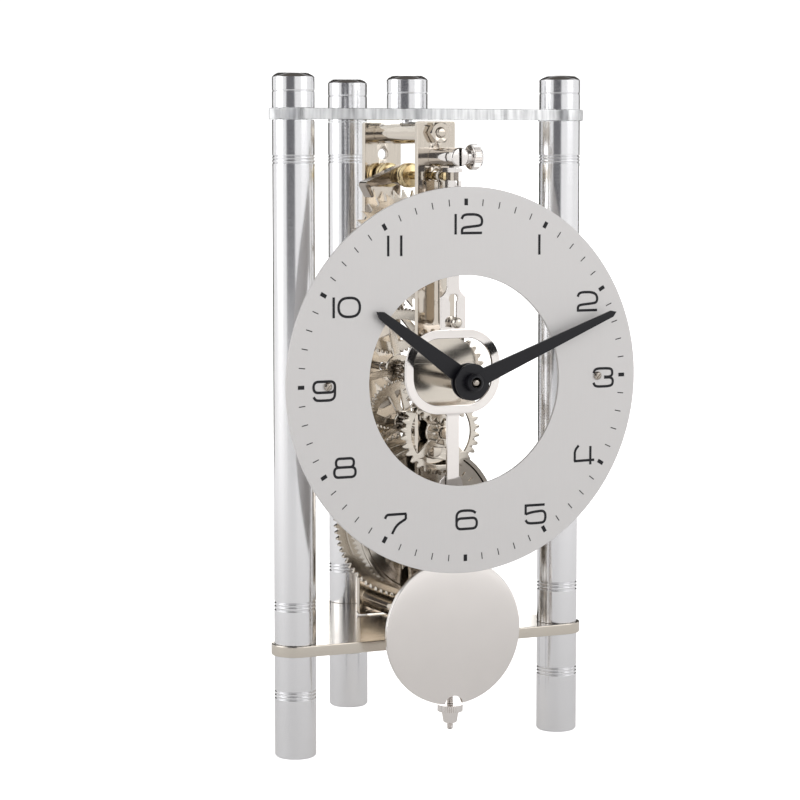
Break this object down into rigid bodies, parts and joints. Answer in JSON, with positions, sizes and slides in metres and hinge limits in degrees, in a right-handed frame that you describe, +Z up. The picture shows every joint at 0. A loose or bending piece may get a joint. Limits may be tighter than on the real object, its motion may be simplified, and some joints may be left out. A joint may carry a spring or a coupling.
{
  "type": "skeleton clock",
  "caption": "Table skeleton clock: turned columns between a metal base plate and a clear top plate, ring dial, open movement and short pendulum.",
  "frame": {"origin": "centre of the bounding box on the surface that the feet stand on", "axes": "+X to the right as the dial is read, +Y to the back, +Z up along the columns"},
  "size_m": [0.11, 0.0964, 0.196],
  "materials": {
    "aluminium_turned": "satin, turned",
    "polished_nickel": "mirror-polished nickel plate",
    "nickel_plates": "polished nickel plate, faintly brushed",
    "nickel_wheels": "fine-ground nickel plate",
    "clear_acrylic": "clear, polished edges",
    "satin_silver": "satin silver",
    "brass": "polished",
    "steel": "fine ground",
    "blued_steel": "hardened, dark",
    "black_paint": "satin black"
  },
  "bodies": {
    "frame": {"foot_front_left": "aluminium_turned", "foot_front_right": "aluminium_turned", "foot_back": "aluminium_turned", "column_front_left": "aluminium_turned", "column_front_right": "aluminium_turned", "column_back": "aluminium_turned", "finial_front_left": "aluminium_turned", "finial_front_right": "aluminium_turned", "finial_back": "aluminium_turned", "finial_movement": "aluminium_turned", "dial_standoff_left": "aluminium_turned", "dial_standoff_right": "aluminium_turned", "front_plate": "nickel_plates", "back_plate": "nickel_plates", "top_pillar": "nickel_plates", "bottom_pillar": "nickel_plates", "nut_front_top": "nickel_plates", "nut_back_top": "nickel_plates", "nut_front_bottom": "nickel_plates", "nut_back_bottom": "nickel_plates", "suspension_stud": "polished_nickel", "suspension_clamp_top": "polished_nickel", "bottom_plate": "nickel_wheels", "top_plate": "clear_acrylic", "dial": "satin_silver", "movement_screw": "steel", "dial_screw_left": "steel", "dial_screw_right": "steel", "click_spring": "steel", "suspension_blades": "blued_steel"},
    "minute_hand_assembly": {"cannon_pinion": "steel", "minute_hand": "black_paint", "hand_nut": "black_paint"},
    "minute_wheel": {"minute_wheel": "nickel_wheels"},
    "hour_hand_assembly": {"hour_wheel": "nickel_wheels", "hour_hand": "black_paint"},
    "third": {"third_arbor": "steel", "third_wheel": "nickel_wheels"},
    "escape": {"escape_arbor": "steel", "escape_wheel": "nickel_wheels"},
    "centre": {"centre_arbor": "steel", "centre_wheel": "nickel_wheels"},
    "intermediate": {"intermediate_arbor": "steel", "intermediate_wheel": "nickel_wheels"},
    "barrel": {"barrel": "nickel_wheels", "barrel_wheel": "nickel_wheels", "barrel_cap": "nickel_wheels", "mainspring": "blued_steel"},
    "winding_arbor": {"barrel_arbor": "steel", "ratchet_wheel": "nickel_wheels"},
    "click": {"click": "nickel_wheels"},
    "pendulum": {"suspension_clamp_bottom": "polished_nickel", "pendulum_leader": "polished_nickel", "bob_hanger": "polished_nickel"},
    "anchor": {"anchor_arbor": "brass", "anchor": "blued_steel", "crutch": "nickel_wheels"},
    "bob": {"bob": "polished_nickel"},
    "rating_nut": {"rating_nut": "polished_nickel"},
    "thumb_screw": {"thumb_screw": "polished_nickel"}
  },
  "joints": [
    {"name": "minute_hand_turn", "type": "hinge", "parent": "frame", "child": "minute_hand_assembly", "pos_m": [0, -0.0172, 0.109], "axis": [0, 1, 0], "continuous": true},
    {"name": "minute_wheel_turn", "type": "hinge", "parent": "frame", "child": "minute_wheel", "pos_m": [0, -0.0172, 0.0928], "axis": [0, 1, 0], "continuous": true},
    {"name": "hour_hand_turn", "type": "hinge", "parent": "frame", "child": "hour_hand_assembly", "pos_m": [0, -0.0172, 0.109], "axis": [0, 1, 0], "continuous": true},
    {"name": "third_turn", "type": "hinge", "parent": "frame", "child": "third", "pos_m": [0, -0.0172, 0.1285], "axis": [0, 1, 0], "continuous": true},
    {"name": "escape_turn", "type": "hinge", "parent": "frame", "child": "escape", "pos_m": [0, -0.0172, 0.145], "axis": [0, 1, 0], "continuous": true},
    {"name": "centre_turn", "type": "hinge", "parent": "frame", "child": "centre", "pos_m": [0, -0.0172, 0.109], "axis": [0, 1, 0], "continuous": true},
    {"name": "intermediate_turn", "type": "hinge", "parent": "frame", "child": "intermediate", "pos_m": [0, -0.0172, 0.0935], "axis": [0, 1, 0], "continuous": true},
    {"name": "barrel_turn", "type": "hinge", "parent": "frame", "child": "barrel", "pos_m": [0, -0.0172, 0.066], "axis": [0, 1, 0], "continuous": true},
    {"name": "winding_turn", "type": "hinge", "parent": "frame", "child": "winding_arbor", "pos_m": [0, -0.0172, 0.066], "axis": [0, 1, 0], "continuous": true},
    {"name": "click_lift", "type": "hinge", "parent": "frame", "child": "click", "pos_m": [-0.0012, -0.0227, 0.0874], "axis": [0, -1, 0], "range_deg": [0, 10], "stiffness_Nm_per_rad": 0.001, "springref_deg": -11.46, "deforming": ["click_spring"]},
    {"name": "pendulum_swing", "type": "hinge", "parent": "frame", "child": "pendulum", "pos_m": [0, -0.0327, 0.1668], "axis": [0, 1, 0], "range_deg": [-3, 3], "deforming": ["suspension_blades"]},
    {"name": "anchor_rock", "type": "hinge", "parent": "frame", "child": "anchor", "pos_m": [0, -0.0012, 0.1668], "axis": [0, 1, 0], "range_deg": [-3, 3]},
    {"name": "bob_slide", "type": "slide", "parent": "pendulum", "child": "bob", "axis": [0, 0, -1], "range_m": [-0.0015, 0.0015]},
    {"name": "rating_nut_turn", "type": "hinge", "parent": "bob", "child": "rating_nut", "pos_m": [0, -0.0314, 0.012], "axis": [0, 0, 1], "range_deg": [-1080, 1080]},
    {"name": "thumb_screw_turn", "type": "hinge", "parent": "frame", "child": "thumb_screw", "pos_m": [0, -0.0342, 0.1722], "axis": [1, 0, 0], "range_deg": [0, 720]}
  ],
  "couplings": [
    {"joint": "minute_wheel_turn", "follows": "minute_hand_turn", "ratio": -0.33333},
    {"joint": "hour_hand_turn", "follows": "minute_hand_turn", "ratio": 0.083333},
    {"joint": "escape_turn", "follows": "third_turn", "ratio": -10},
    {"joint": "centre_turn", "follows": "third_turn", "ratio": -0.072917},
    {"joint": "intermediate_turn", "follows": "third_turn", "ratio": 0.014583},
    {"joint": "barrel_turn", "follows": "third_turn", "ratio": -0.0018229},
    {"joint": "anchor_rock", "follows": "pendulum_swing", "ratio": 1},
    {"joint": "rating_nut_turn", "follows": "bob_slide", "rad_per_m": 12566}
  ]
}
